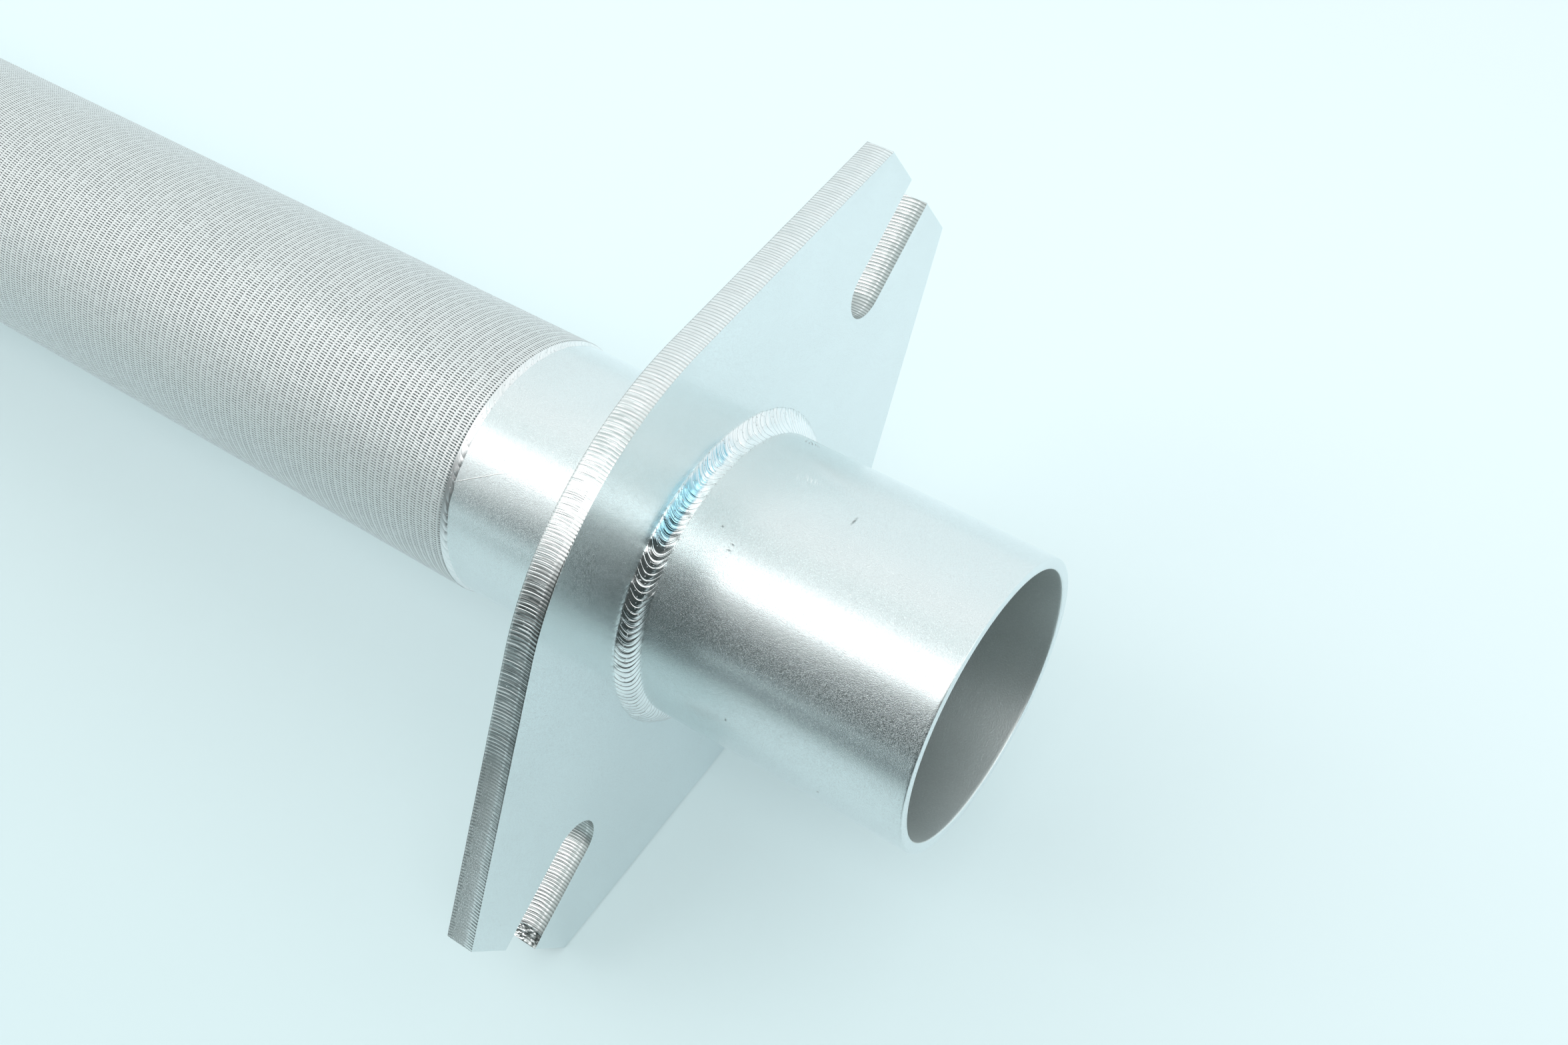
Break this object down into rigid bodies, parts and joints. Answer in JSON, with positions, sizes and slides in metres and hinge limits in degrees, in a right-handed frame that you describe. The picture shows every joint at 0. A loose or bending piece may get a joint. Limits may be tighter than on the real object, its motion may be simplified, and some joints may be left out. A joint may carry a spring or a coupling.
{
  "type": "sintered filter element",
  "caption": "Sintered wire-mesh filter tube on a rhombic flange with open bolt slots, with a pipe outlet on the far side of the flange.",
  "frame": {"origin": "on the pipe axis, in the face of the flange on the mesh side, which seats on the vessel", "axes": "+X along the pipe axis to the closed end of the mesh tube, the way the element goes into its vessel, with the outlet pipe along -X; +Z square on the straight flange edge that the element lies on, so the line of the two bolt slots is turned 30.3 degrees up from -Y"},
  "size_m": [0.6227, 0.1646, 0.1182],
  "materials": {
    "blasted_tube": "bead-blasted stainless steel, satin with a fine sparkle",
    "laser_cut_plate": "bead-blasted stainless steel faces with striated laser-cut edges",
    "sintered_mesh": "pale sintered stainless wire cloth",
    "weld_metal": "bright rippled weld bead"
  },
  "bodies": {
    "root": {"outlet_pipe": "blasted_tube", "flange_plate": "laser_cut_plate", "collar_tube": "blasted_tube", "mesh_tube": "sintered_mesh", "end_cap": "blasted_tube", "long_seam_weld": "weld_metal", "front_weld_bead": "weld_metal", "rear_weld_bead": "weld_metal", "collar_seam_bead": "weld_metal", "cap_seam_bead": "weld_metal"}
  },
  "joints": []
}
